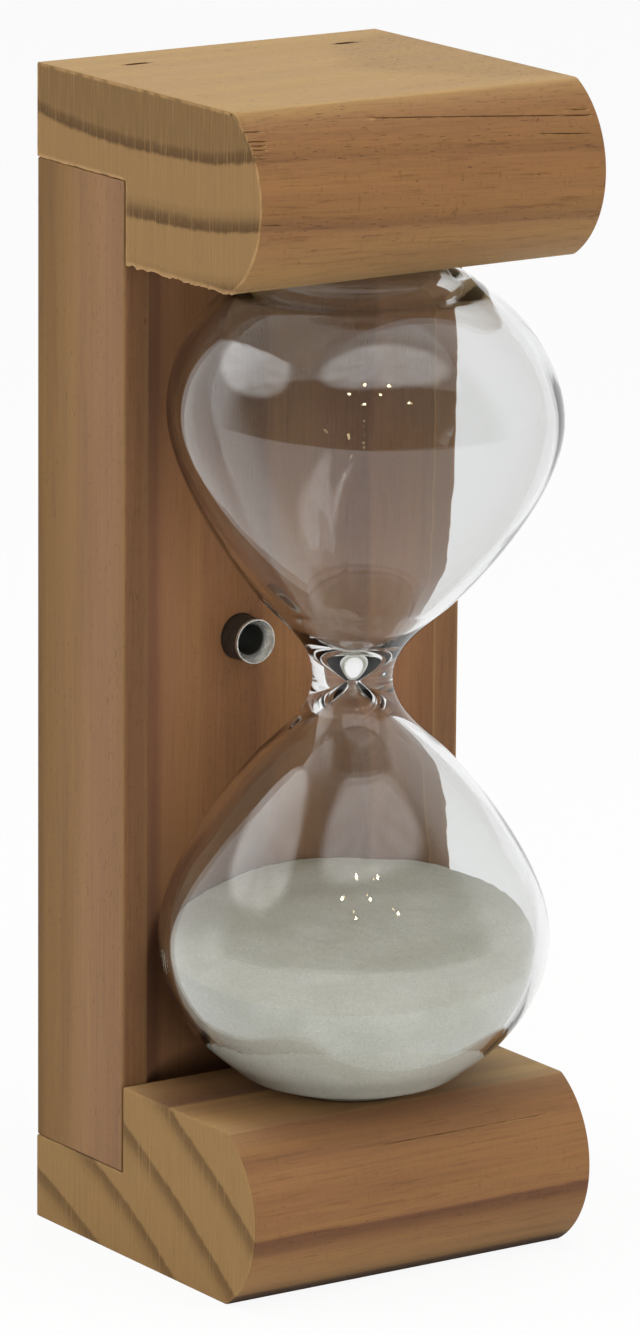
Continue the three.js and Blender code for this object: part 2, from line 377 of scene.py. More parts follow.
class Timber(Tree):
    """Nodes of one piece of softwood with its grain along one axis"""

    def __init__(self, owner, along, tilt, seed):
        super().__init__(owner)
        self.axis = "XYZ".index(along)
        self.seed = seed
        self.places = self.place_mm()
        self.lengthwise = self.places[self.axis]
        self.across, rise = [spot for i, spot in enumerate(self.places) if i != self.axis]
        self.rise = self.plus(rise, self.times(self.lengthwise, tilt))
        self.facing = self.parts(self.node("ShaderNodeTexCoord").outputs["Normal"])

    def grain(self, length_scale, cross_scale, shift, detail=2.0, roughness=0.5):
        """Noise that is drawn out along the grain"""
        spot = self.vector(
            self.times(self.lengthwise, length_scale),
            self.times(self.across, cross_scale),
            self.plus(self.times(self.rise, cross_scale), shift + self.seed),
        )
        return self.noise(spot, 1.0, detail, roughness)

    def latewood(self, pith, spacing, narrowing, first, late_start, heart):
        """The dark share of the growth rings, which darken and narrow outwards from the pith"""
        wander = self.centred(self.grain(0.012, 0.05, 0), 1.4)
        ragged = self.centred(self.grain(0.1, 0.9, 5, 3.0), 0.7)
        aside = self.minus(self.across, pith[0])
        above = self.minus(self.rise, pith[1])
        radius = self.plus(self.length(aside, above), self.plus(wander, ragged))
        depth = self.minus(radius, first)
        squeeze = self.times(self.times(depth, depth), narrowing)
        phase = self.plus(self.math("DIVIDE", depth, spacing), squeeze)
        stops = (0, 0.4), (0.035, 0.04), (late_start - 0.12, 0.06), (late_start, 0.3)
        dark_stops = ((late_start + 1) / 2, 0.85), (0.97, 1.0), (1, 0.6)
        rings = self.ramp(self.math("FRACT", phase), *stops, *dark_stops)
        inner = self.times(self.math("LESS_THAN", phase, 0.0), heart)
        return self.math("MAXIMUM", rings, inner)

    def saw_lines(self, density, drift):
        """Noise in the saw's upright lines on an end"""
        across = self.times(self.across, density)
        along = self.times(self.rise, drift)
        return self.noise(self.vector(across, along, self.seed), detail=3.0)

    def nail_stain(self):
        """The dark torn spots over the nails"""
        aside = self.minus(self.math("ABSOLUTE", self.places[0]), NAIL_X)
        behind = self.minus(self.places[1], NAIL_Y)
        from_slit = self.length(
            self.math("DIVIDE", aside, NAIL_SLIT_LENGTH / 2),
            self.math("DIVIDE", behind, NAIL_SLIT_WIDTH / 2),
        )
        ragged = self.centred(self.grain(0.9, 2.6, 53, 3.0), 1.6)
        return self.range(self.plus(from_slit, ragged), 0.9, 1.6, 0.75, 0.0)


NO_TINT = (1, 1, 1, 1)
BLUSH_WARM = (1.015, 1.02, 0.98, 1)
BLUSH_COOL = (0.985, 0.98, 1.02, 1)
TORN_TINT = (0.5, 0.42, 0.36, 1)
SPECK_COLOUR = (0.07, 0.028, 0.012, 1)
TORN_FIBRE_COLOUR = (0.60, 0.36, 0.16, 1)
CRACK_COLOUR = (0.035, 0.016, 0.008, 1)
NAIL_STAIN_COLOUR = (0.07, 0.035, 0.012, 1)
# Painted shade that darkens the front of the foot towards the floor
FOOT_PAINTED_SHADE_COLOUR = (0.02, 0.013, 0.009, 1)
FOOT_PAINTED_SHADE_HEIGHT = 3.2
# Painted shadow of the bulb on the base's top face
BULB_PAINTED_SHADOW_TINT = (0.64, 0.53, 0.5, 1)
BULB_PAINTED_SHADOW_X = -5.0
BULB_PAINTED_SHADOW_INNER = 17.0
BULB_PAINTED_SHADOW_OUTER = 26.0


def wood(name, along, seed, rings, colours, tilt=0.0, rear_tint=NO_TINT, land_painted_shade=NO_TINT,
         torn_share=0.6, painted_shade_strength=0.0, nails=True):
    """Solid softwood: growth rings about a pith line, fibres along the grain, sawn end grain"""
    early, late, end_early, end_late, front_painted_shade = colours
    tree = Timber(bpy.data.materials.new(name), along, tilt, seed)
    latewood = tree.latewood(**rings)

    # Fibres, streaks, planing chatter and torn specks
    fibre = tree.grain(0.05, 2.4, 11, 4.0, 0.6)
    fine = tree.grain(0.3, 9.0, 23, 3.0, 0.65)
    streak = tree.grain(0.012, 0.22, 31, 3.0)
    chatter = tree.grain(2.2, 0.5, 37, 3.0)
    torn_spot = tree.plus(tree.grain(0.8, 4.5, 41), tree.times(latewood, 0.07))
    specks = tree.range(torn_spot, 0.69, 0.77)
    tears = tree.range(tree.grain(0.13, 2.0, 43, 4.0, 0.6), 0.56, 0.68)
    nicks = tree.range(tree.grain(2.6, 0.75, 47, 3.0), 0.62, 0.72)
    blush = tree.range(tree.grain(0.008, 0.3, 59, 3.0), 0.38, 0.62)

    # Which way the surface faces
    end_share = tree.range(tree.math("ABSOLUTE", tree.facing[tree.axis]), 0.55, 0.85)
    frontwards = tree.times(tree.facing[1], -1.0)
    underneath = tree.range(tree.facing[2], -0.8, -0.1, 0.7, 1.0)
    front_share = tree.times(tree.range(frontwards, 0.22, 0.8), underneath)

    # Planed faces
    face = tree.mix(tree.times(latewood, 0.85), early, late)
    face = tree.mix(tree.range(streak, 0.4, 0.7, 0.0, 0.4), face, late)
    face = tree.mix(1.0, face, tree.mix(blush, BLUSH_WARM, BLUSH_COOL), "MULTIPLY")
    # Painted shade: faces that face the front are darker and redder, less so where they turn down
    face = tree.mix(front_share, face, front_painted_shade, "MULTIPLY")
    to_rear = tree.range(tree.places[1], BOARD_FRONT_Y + 3, REAR_Y - 1)
    face = tree.mix(to_rear, face, rear_tint, "MULTIPLY")
    # Painted shade on the board's front lands
    on_land = tree.range(tree.places[1], BOARD_FRONT_Y + 0.1, BOARD_FRONT_Y + 0.5, 1.0, 0.0)
    face = tree.mix(on_land, face, land_painted_shade, "MULTIPLY")
    shade = tree.plus(tree.times(fibre, 0.5), tree.times(fine, 0.35))
    shade = tree.plus(shade, tree.times(chatter, 0.12))
    face = tree.mix(1.0, face, tree.ramp(shade, (0.33, 0.8), (0.48, 1.0), (0.62, 1.1)), "MULTIPLY")
    rough = tree.math("MAXIMUM", tree.times(tears, 0.8), tree.times(nicks, 0.7))
    rough = tree.times(rough, tree.times(front_share, torn_share))
    face = tree.mix(rough, face, TORN_TINT, "MULTIPLY")
    face = tree.mix(tree.times(specks, torn_share), face, SPECK_COLOUR)

    # Painted shade along the foot, and a painted shadow of the bulb on the top face
    low_down = tree.range(tree.places[2], 0.0, FOOT_PAINTED_SHADE_HEIGHT, painted_shade_strength, 0.0)
    foot_painted_shade = tree.times(low_down, tree.range(frontwards, 0.2, 0.4))
    face = tree.mix(foot_painted_shade, face, FOOT_PAINTED_SHADE_COLOUR)
    # Painted shadow of the bulb: darker near the glass on faces that look up
    aside = tree.minus(tree.places[0], BULB_PAINTED_SHADOW_X)
    from_glass = tree.length(aside, tree.minus(tree.places[1], GLASS_Y))
    bulb_painted_shadow = tree.range(from_glass, BULB_PAINTED_SHADOW_INNER, BULB_PAINTED_SHADOW_OUTER, painted_shade_strength, 0.0)
    bulb_painted_shadow = tree.times(bulb_painted_shadow, tree.range(tree.facing[2], 0.6, 0.9))
    face = tree.mix(bulb_painted_shadow, face, BULB_PAINTED_SHADOW_TINT, "MULTIPLY")

    # Sawn ends, where single teeth tore pale lines through the dark rings
    coarse = tree.saw_lines(3.2, 0.1)
    saw_shade = tree.plus(tree.centred(coarse, 0.6), tree.centred(tree.saw_lines(11.0, 0.5), 0.4))
    pale_line = tree.range(coarse, 0.52, 0.7, 1.0, 0.5)
    sawn = tree.mix(tree.times(latewood, pale_line), end_early, end_late)
    saw_tone = tree.ramp(tree.plus(saw_shade, 0.5), (0.3, 0.86), (0.5, 1.0), (0.7, 1.08))
    sawn = tree.mix(1.0, sawn, saw_tone, "MULTIPLY")

    # Torn edges, cracks and nail spots
    colour = tree.mix(end_share, face, sawn)
    colour = tree.mix(tree.times(tree.mark("torn"), 0.7), colour, TORN_FIBRE_COLOUR)
    colour = tree.mix(tree.mark("crack"), colour, CRACK_COLOUR)
    if nails:
        colour = tree.mix(tree.nail_stain(), colour, NAIL_STAIN_COLOUR)

    # Surface
    face_height = tree.minus(tree.plus(shade, tree.times(latewood, 0.25)), specks)
    height = tree.mix(end_share, face_height, tree.times(saw_shade, 1.3))
    return tree.surface({
        "Base Color": colour,
        "Roughness": tree.range(shade, 0.3, 0.65, 0.52, 0.7),
        "Specular IOR Level": 0.22,
        "Normal": tree.bump(height, 0.12, 0.7),
    })


GLASS_TINT = (0.89, 0.90, 0.897, 1)
GLASS_IOR = 1.56
SAND_DARK = (0.645, 0.653, 0.58, 1)
SAND_PALE = (0.72, 0.728, 0.665, 1)
SAND_GRAINS_PER_MM = 5.5
PLATING_COLOUR = (0.80, 0.81, 0.79, 1)
PLATING_GRIME = (0.56, 0.55, 0.51, 1)
SLEEVE_BORE_PAINTED_SHADE = (0.06, 0.06, 0.052, 1)
SLEEVE_SIDE_PAINTED_SHADE = (0.012, 0.012, 0.011, 1)
STEEL_COLOUR = (0.20, 0.19, 0.18, 1)
RUST_COLOUR = (0.12, 0.055, 0.025, 1)


def clear_glass():
    """Clear blown glass with a faint bloom of dust, letting the lamps through to the sand"""
    tree = Tree(bpy.data.materials.new("blown_glass"))
    x, y, z = tree.place_mm()
    spot = tree.vector(x, y, z)
    smear = tree.noise(spot, 0.09, 4.0, 0.6)
    ripple = tree.noise(tree.vector(x, y, tree.times(z, 0.35)), 0.22, 2.0)
    glass = tree.node("ShaderNodeBsdfPrincipled", {
        "Base Color": GLASS_TINT,
        "Transmission Weight": 1.0,
        "IOR": GLASS_IOR,
        "Roughness": tree.range(smear, 0.45, 0.75, 0.0, 0.015),
        "Normal": tree.bump(ripple, 0.05, 0.35),
    })
    clear = tree.node("ShaderNodeBsdfTransparent", {"Color": GLASS_TINT})
    lamp_ray = tree.node("ShaderNodeLightPath").outputs["Is Shadow Ray"]
    either = tree.node("ShaderNodeMixShader", {0: lamp_ray, 1: glass.outputs[0], 2: clear.outputs[0]})
    return tree.end(either)


def quartz_sand():
    """Fine pale sand with single darker and brighter grains"""
    tree = Tree(bpy.data.materials.new("quartz_sand"))
    x, y, z = tree.place_mm()
    spot = tree.vector(x, y, z)
    grain = tree.node("ShaderNodeTexVoronoi", {"Vector": spot, "Scale": SAND_GRAINS_PER_MM}).outputs
    patch = tree.noise(spot, 0.12, 3.0)
    tint = tree.mix(tree.range(patch, 0.35, 0.65), SAND_DARK, SAND_PALE)
    value = tree.node("ShaderNodeSeparateColor", {0: grain["Color"]}).outputs[0]
    grain_tone = tree.ramp(value, (0.0, 0.82), (0.1, 0.96), (0.9, 1.02), (1.0, 1.14))
    tint = tree.mix(1.0, tint, grain_tone, "MULTIPLY")
    return tree.surface({
        "Base Color": tint,
        "Roughness": tree.range(value, 0.0, 1.0, 0.95, 0.6),
        "Normal": tree.bump(grain["Distance"], 0.1, 0.55),
    })


def tube_metal():
    """Bright plated tube, turned finely, with painted shade in its dull bore and on its side"""
    tree = Tree(bpy.data.materials.new("plated_tube"))
    x, y, z = tree.place_mm()
    rise = tree.minus(z, MIDDLE_Z)
    radius = tree.length(x, rise)
    # Painted shade in the bore, which is also made rough
    inside = tree.range(radius, SLEEVE_BORE + 0.03, SLEEVE_BORE + 0.2, 1.0, 0.0)
    # Painted shade on the tube's side behind its mouth
    outside = tree.range(radius, SLEEVE_RADIUS - 0.12, SLEEVE_RADIUS - 0.04)
    behind = tree.range(y, SLEEVE_LOW[1] + 0.15, SLEEVE_LOW[1] + 0.6, 0.0, 0.9)
    side_painted_shade = tree.times(behind, outside)
    dull = tree.math("MAXIMUM", inside, side_painted_shade)
    lines = tree.noise(tree.vector(x, tree.times(y, 9.0), z), 0.8, 3.0)
    grime = tree.noise(tree.vector(x, y, z), 0.7, 4.0)
    colour = tree.mix(tree.range(grime, 0.4, 0.75), PLATING_COLOUR, PLATING_GRIME)
    colour = tree.mix(inside, colour, SLEEVE_BORE_PAINTED_SHADE)
    colour = tree.mix(side_painted_shade, colour, SLEEVE_SIDE_PAINTED_SHADE)
    polish = tree.range(lines, 0.3, 0.7, 0.16, 0.3)
    return tree.surface({
        "Base Color": colour,
        "Metallic": 0.7,
        "Roughness": tree.plus(polish, tree.times(dull, 0.4)),
        "Normal": tree.bump(lines, 0.02, 0.4),
    })


def nail_metal():
    """Dark drawn steel with rust in patches"""
    tree = Tree(bpy.data.materials.new("nail_wire"))
    x, y, z = tree.place_mm()
    rust = tree.noise(tree.vector(x, y, z), 1.3, 4.0)
    colour = tree.mix(tree.range(rust, 0.45, 0.65), STEEL_COLOUR, RUST_COLOUR)
    return tree.surface({
        "Base Color": colour,
        "Metallic": tree.range(rust, 0.45, 0.65, 0.9, 0.2),
        "Roughness": tree.range(rust, 0.3, 0.7, 0.35, 0.8),
        "Normal": tree.bump(rust, 0.05, 0.5),
    })


# Wooden pieces

class Outline:
    """A closed outline of 2-D points that is walked by its length, with its corners slightly eased"""

    STEP = 0.05
    EASE_PASSES = 24

    def __init__(self, corners, ease_passes=EASE_PASSES):
        closed = np.vstack((corners, corners[:1]))
        walked = np.concatenate(((0,), np.cumsum(np.hypot(*np.diff(closed, axis=0).T))))
        self.length = walked[-1]
        self.at_corner = walked[:-1]
        self.walk = np.linspace(0, self.length, int(self.length / self.STEP), endpoint=False)
        points = np.stack([np.interp(self.walk, walked, closed[:, i]) for i in (0, 1)], -1)
        for _ in range(ease_passes):
            points = (np.roll(points, 1, 0) + 2 * points + np.roll(points, -1, 0)) / 4
        self.points = points
        slope = np.roll(points, -1, 0) - np.roll(points, 1, 0)
        slope /= np.hypot(*slope.T)[:, None]
        self.inward = np.stack((-slope[:, 1], slope[:, 0]), -1)
        middle = points.mean(0)
        if np.sum(self.inward * (middle - points)) < 0:
            self.inward = -self.inward

    def _read(self, table, walk):
        """Values of a table of 2-D points at lengths along the outline"""
        return np.stack([np.interp(walk, self.walk, table[:, i], period=self.length) for i in (0, 1)], -1)

    def at(self, walk):
        return self._read(self.points, walk)

    def inward_at(self, walk):
        return self._read(self.inward, walk)


NOSE_RADIUS = ((BLOCK_THICKNESS / 2) ** 2 + NOSE_RISE**2) / (2 * NOSE_RISE)
NOSE_SWEEP = math.asin(BLOCK_THICKNESS / 2 / NOSE_RADIUS)
NOSE_POINTS = 61
ROW_STEP = 0.36
STATION_STEP = 0.7
EDGE_EASE = 0.22
EDGE_STEPS = 5
WOOD_SHARP_ANGLE = 32
CRACK_HALF_WIDTH = 0.11
CRACK_CLEAR = 0.3
CRACK_RUN_OUT = 1.5
CRACK_FULL_DARK = 0.25
TEAR_REACH = 0.9
TEAR_MARKED = 0.04
EDGE_REACH = 0.3
OVER_BOARD_SHARE = 0.3
SHEAR_EASE = 0.06
CAP_INSET = 0.55
CAP_EASE_PASSES = 400
COVE_POINTS = 121
BOARD_ROW_STEP = 0.6
BOARD_WEAR = 0.35
BEND_REACH = 0.2
BEND_GAIN = 1.5


def block_corners(ledge):
    """Side view of a block as (y, height) points from its outer face at height 0"""
    half = BLOCK_THICKNESS / 2
    turns = np.linspace(NOSE_SWEEP, -NOSE_SWEEP, NOSE_POINTS)
    nose_y = NOSE_Y + NOSE_RADIUS - NOSE_RADIUS * np.cos(turns)
    nose = np.column_stack((nose_y, half + NOSE_RADIUS * np.sin(turns)))
    shoulder = BOARD_FRONT_Y - SHOULDER_GAP
    rabbet = [(REAR_Y, 0), (REAR_Y, ledge), (shoulder, ledge), (shoulder, BLOCK_THICKNESS)]
    return np.vstack((rabbet, nose))


def end_stations(low, high):
    """Places along a piece with closer ones at its eased ends"""
    ease = EDGE_EASE * (1 - np.cos(np.linspace(0, math.pi / 2, EDGE_STEPS)))
    inner = np.linspace(low + EDGE_EASE, high - EDGE_EASE, int((high - low) / STATION_STEP))
    return np.concatenate((low + ease[:-1], inner, high - ease[-2::-1]))


def end_inset(stations):
    """How far the outline draws in at each station, so that the ends have a small round edge"""
    depth = np.minimum(stations - stations[0], stations[-1] - stations)
    rest = np.clip(EDGE_EASE - depth, 0, EDGE_EASE)
    return EDGE_EASE - np.sqrt(EDGE_EASE**2 - rest**2)


def nail_cutters(z, inwards, seed):
    """Two nail bores from an outer face inwards, each under the torn slit that its head left"""
    slit = NAIL_SLIT_LENGTH / 2, NAIL_SLIT_WIDTH / 2
    room = NAIL_HEAD_ROOM, NAIL_HEAD_ROOM
    bore = NAIL_BORE_RADIUS, NAIL_BORE_RADIUS
    stages = (
        ((0, 0), OVERCUT, 0),
        (slit, OVERCUT, NAIL_SLIT_TEAR),
        (slit, -NAIL_SLIT_DEPTH, NAIL_SLIT_TEAR),
        (room, -NAIL_HEAD_TOP, 0),
        (room, -NAIL_HEAD_FLOOR, 0),
        (bore, -NAIL_HEAD_FLOOR, 0),
        (bore, -NAIL_BORE_DEPTH, 0),
        ((0, 0), -NAIL_BORE_DEPTH, 0),
    )
    turn = np.linspace(0, 2 * math.pi, NAIL_CUT_SIDES, endpoint=False)
    ring = np.stack((np.cos(turn), np.sin(turn)), -1)
    made = []
    for side in (-1, 1):
        rings = np.zeros((len(stages), len(turn), 3))
        for i, (reach, height, torn) in enumerate(stages):
            flat = ring * reach
            ragged = wave(np.column_stack((flat + side * 9, np.zeros(len(turn)))), 1.5, seed)
            rings[i, :, :2] = flat * (1 + torn * ragged)[:, None]
            rings[i, :, 2] = height * inwards
        rings += (side * NAIL_X, NAIL_Y, z)
        made.append(make_mesh("nail_cut", *loft(rings)))
    return made


def nose_grooves(rows, stations, centres, cracks, seed):
    """How deep each crack goes at each station and row"""
    groove = np.zeros((len(stations), len(rows)))
    for centre, (_, start, stop, depth) in zip(centres, cracks):
        row = np.argmin(np.abs(rows - centre))
        inside = np.clip(np.minimum(stations - start, stop - stations) / CRACK_RUN_OUT, 0, 1)
        ragged = 0.7 + 0.8 * wave_along(stations, 0.9, seed + row)
        groove[:, row] = depth * np.sqrt(inside) * np.clip(ragged, 0.1, 1)
    return groove


def torn_edge(flat, ledge, burr, seed):
    """How far the sawn lower edges hang down in torn fibres"""
    depth, height = flat.T
    under = (height > BLOCK_THICKNESS - EDGE_REACH) & (depth < BOARD_FRONT_Y)
    over_board = (np.abs(height - ledge) < EDGE_REACH) & (depth > BOARD_FRONT_Y)
    coarse = np.abs(wave_along(depth, 0.45, seed))
    fine = np.abs(wave_along(depth, 1.6, seed + 1))
    ragged = 0.7 * coarse + 0.5 * fine
    return burr * (under + OVER_BOARD_SHARE * over_board) * np.clip(ragged - 0.05, 0, 1)


def cross_block(name, ledge, at_top, shear, cracks, burr, wear, seed):
    """A block from its side view, with cracks along the nose and a torn burr on the sawn left edge"""
    corners = block_corners(ledge)
    outline = Outline(corners)
    inner_outline = Outline(corners, CAP_EASE_PASSES)
    nose_low, nose_high = outline.at_corner[[-NOSE_POINTS, -1]]
    upwards = -1 if at_top else 1
    turns = [NOSE_SWEEP - upwards * math.radians(crack[0]) for crack in cracks]
    centres = [nose_low + turn / (2 * NOSE_SWEEP) * (nose_high - nose_low) for turn in turns]
    rows = np.arange(0, outline.length, ROW_STEP)
    for centre in centres:
        rows = rows[np.abs(rows - centre) > CRACK_CLEAR]
    extra = [centre + side * CRACK_HALF_WIDTH for centre in centres for side in (-1, 0, 1)]
    rows = np.sort(np.concatenate((rows, extra)))
    share = (rows - nose_low) / (nose_high - nose_low)
    on_nose = np.clip(np.minimum(share, 1 - share) / SHEAR_EASE, 0, 1)
    stations = end_stations(LEFT_X, RIGHT_X)
    insets = end_inset(stations)
    groove = nose_grooves(rows, stations, centres, cracks, seed)
    hang = torn_edge(outline.at(rows), ledge, burr, seed)
    near_end = np.clip(1 - (stations - LEFT_X) / TEAR_REACH, 0, 1) ** 1.5

    def inner_ring(station):
        walk = rows * inner_outline.length / outline.length
        flat = inner_outline.at(walk) + inner_outline.inward_at(walk) * CAP_INSET
        return np.column_stack((np.full(len(rows), station), flat))

    rings = [inner_ring(stations[0])]
    for i, station in enumerate(stations):
        walk = rows + shear * station * on_nose
        flat = outline.at(walk) + outline.inward_at(walk) * (insets[i] + groove[i])[:, None]
        flat[:, 1] += hang * near_end[i]
        rings.append(np.column_stack((np.full(len(rows), station), flat)))
    rings.append(inner_ring(stations[-1]))
    points = np.array(rings)
    if at_top:
        points[..., 2] = HEIGHT - points[..., 2]
    crack_mark = np.pad(np.clip(groove / CRACK_FULL_DARK, 0, 1), ((1, 1), (0, 0)))
    rubbed = wear * np.clip(0.6 + wave_along(rows, 0.8, seed + 5), 0, 1)
    arris = np.clip(insets / EDGE_EASE, 0, 1)[:, None] * rubbed
    torn_mark = np.pad(np.maximum(arris, near_end[:, None] * (hang > TEAR_MARKED)), ((1, 1), (0, 0)))
    piece = make_mesh(name, *loft(points), marks={"crack": crack_mark, "torn": torn_mark})
    outer, inward_sign, inner = (HEIGHT, 1, TOP_LOW[2]) if at_top else (0, -1, BASE_HIGH[2])
    seat_rings = drill(SEAT_RADIUS, -SEAT_DEPTH, OVERCUT)
    seat_rings[..., 2] *= -inward_sign
    seat_rings += (0, GLASS_Y, inner)
    seat = make_mesh("seat_cut", *loft(seat_rings))
    cut(piece, [seat, *nail_cutters(outer, inward_sign, seed)])
    smooth(piece, WOOD_SHARP_ANGLE)
    return piece


def back_board():
    """The coved board, its long edges eased, with the sleeve's bore and the nail bores"""
    cove_radius = BULB_RADIUS + COVE_GAP
    half = math.sqrt(cove_radius**2 - (BOARD_FRONT_Y - GLASS_Y) ** 2)
    reach = math.asin(half / cove_radius)
    turns = np.linspace(reach, -reach, COVE_POINTS)
    cove = np.column_stack((cove_radius * np.sin(turns), GLASS_Y + cove_radius * np.cos(turns)))
    corners = [(LEFT_X, BOARD_FRONT_Y), (LEFT_X, REAR_Y), (RIGHT_X, REAR_Y), (RIGHT_X, BOARD_FRONT_Y)]
    outline = Outline(np.vstack((cove, corners)))
    rows = np.arange(0, outline.length, BOARD_ROW_STEP)
    stations = end_stations(BOARD_LOW[2], BOARD_HIGH[2])
    insets = end_inset(stations)
    rings = np.zeros((len(stations), len(rows), 3))
    rings[..., :2] = outline.at(rows) + outline.inward_at(rows) * insets[:, None, None]
    rings[..., 2] = stations[:, None]
    before, after = outline.inward_at(rows - BEND_REACH), outline.inward_at(rows + BEND_REACH)
    bend = np.abs(np.cross(before, after))
    rubbed = np.broadcast_to(BOARD_WEAR * np.clip(bend * BEND_GAIN, 0, 1), rings.shape[:2])
    piece = make_mesh("back_board_wood", *loft(rings), marks={"torn": rubbed})
    bore_radius = SLEEVE_RADIUS + SLEEVE_BORE_GAP
    bore_rings = drill(bore_radius, -OVERCUT, SLEEVE_BORE_DEPTH) @ TO_FRONT
    bore = make_mesh("bore_cut", *loft(bore_rings + (0, REAR_Y, MIDDLE_Z)))
    cut(piece, [bore, *nail_cutters(HEIGHT, 1, 3), *nail_cutters(0, -1, 4)])
    smooth(piece, WOOD_SHARP_ANGLE)
    return piece


# Glass and sand

def bezier(a, b, c, d, count):
    """Points of a cubic curve from a to d, pulled towards b and c"""
    share = np.linspace(0, 1, count)[:, None]
    rest = 1 - share
    a, b, c, d = (np.asarray(p, float) for p in (a, b, c, d))
    return a * rest**3 + 3 * b * rest**2 * share + 3 * c * rest * share**2 + d * share**3


CURVE_POINTS = 40
CAP_POINTS = 80
FLANK_WAY = np.array((math.cos(FLANK_SLOPE), math.sin(FLANK_SLOPE)))
UPSIDE_DOWN = (1, -1)
GLASS_SHARP_ANGLE = 60
SMALL_SHARP_ANGLE = 50


def shoulder_curve(flank, shoulder):
    """From the leaning flank up to the widest line, which it meets upright"""
    upright = shoulder - (0, SHOULDER_PULL)
    return bezier(flank, flank + FLANK_PULL * FLANK_WAY, upright, shoulder, CURVE_POINTS)[1:]


def outer_flank():
    """The outside as (radius, height) points from the waist to the widest line"""
    flank = np.array((FLANK_RADIUS, FLANK_RISE))
    waist = np.array((WAIST_RADIUS, 0.0))
    throat = bezier(waist, waist + (0, THROAT_PULL), flank - THROAT_PULL * FLANK_WAY, flank, CURVE_POINTS)
    return np.vstack((throat, shoulder_curve(flank, np.array((BULB_RADIUS, BULB_RISE)))))


def inner_flank():
    """The inside from the orifice to the widest line"""
    inwards = np.array((-FLANK_WAY[1], FLANK_WAY[0]))
    flank = np.array((FLANK_RADIUS, FLANK_RISE)) + GLASS_WALL * inwards
    shoulder = np.array((BULB_RADIUS - GLASS_WALL, BULB_RISE))
    orifice = np.array((ORIFICE_RADIUS, 0.0))
    above = orifice + (0, ORIFICE_PULL)
    funnel = bezier(orifice, above, flank - FUNNEL_PULL * FLANK_WAY, flank, CURVE_POINTS)
    return np.vstack((funnel, shoulder_curve(flank, shoulder)))


def cap(radius, rise, end_radius, collar):
    """A quarter ellipse from the widest line to its pole, with the collar where the tube was drawn in"""
    turn = np.linspace(0, math.acos(end_radius / radius), CAP_POINTS)[1:]
    reach = radius * np.cos(turn)
    ridge = collar * np.exp(-(((reach - COLLAR_RADIUS) / COLLAR_WIDTH) ** 2))
    return np.column_stack((reach, BULB_RISE + rise * np.sin(turn) + ridge))


def inner_half(end_radius):
    """The inside of one half, up to a hole of that radius"""
    wall_rise = HALF_GLASS - BULB_RISE - GLASS_WALL
    return np.vstack((inner_flank(), cap(BULB_RADIUS - GLASS_WALL, wall_rise, end_radius, COLLAR_INSIDE)))


def outer_half(end_radius):
    """The outside of one half, up to a hole of that radius"""
    rise = HALF_GLASS - BULB_RISE
    return np.vstack((outer_flank(), cap(BULB_RADIUS, rise, end_radius, COLLAR_OUTSIDE)))


def leaned(points):
    """Bends turned points sideways as the blown bulbs lean, with the waist and the poles in place"""
    height = points[..., 2] / HALF_GLASS
    swing = np.sin(np.clip(np.abs(height), 0, 1) * math.pi) ** 1.5
    lean = np.where(height[..., None] > 0, UPPER_LEAN, LOWER_LEAN)
    moved = points.copy()
    moved[..., :2] += lean * swing[..., None]
    return moved


def in_place(points):
    """Points about the vial's middle, leaned and moved to its place"""
    return leaned(points) + (0, GLASS_Y, MIDDLE_Z)


def glass_vial():
    """The vial's wall, from the lower pole up the outside, through the filling hole and down the inside"""
    outer_up = outer_half(FILLING_HOLE_RADIUS)
    inner_up = inner_half(FILLING_HOLE_RADIUS)
    outside = np.vstack((outer_half(0)[::-1] * UPSIDE_DOWN, outer_up[1:]))
    inside = np.vstack((inner_up[::-1], inner_half(0)[1:] * UPSIDE_DOWN))
    rings = lathe(np.vstack((outside, inside)), VIAL_SIDES)
    ripple = OUTER_RIPPLE * wave(rings * RIPPLE_STRETCH, 0.11, 1)
    ripple[len(outside):] = INNER_RIPPLE * wave(rings[len(outside):] * RIPPLE_STRETCH, 0.13, 2)
    reach = np.hypot(rings[..., 0], rings[..., 1])
    rippled = np.clip((reach - RIPPLE_FREE_RADIUS) / RIPPLE_RUN_IN, 0, 1)
    grow = 1 + ripple * rippled / np.maximum(reach, 1)
    rings[..., :2] *= grow[..., None]
    piece = make_mesh("blown_vial", *loft(in_place(rings)))
    smooth(piece, GLASS_SHARP_ANGLE)
    return piece


def glass_seal():
    """The fused drop that closes the filling hole"""
    radius = FILLING_HOLE_RADIUS - SEAL_GAP
    top = HALF_GLASS
    inside = top - GLASS_WALL
    turn = np.linspace(0, math.pi / 2, SEAL_STEPS)
    drop = np.column_stack((radius * np.sin(turn), inside - SEAL_DROP * np.cos(turn)))
    dome = np.column_stack((radius * np.cos(turn), top - SEAL_DOME + SEAL_DOME * np.sin(turn)))
    rings = lathe(np.vstack((drop, dome)), SEAL_SIDES)
    piece = make_mesh("fused_seal", *loft(in_place(rings)))
    smooth(piece, SMALL_SHARP_ANGLE)
    return piece


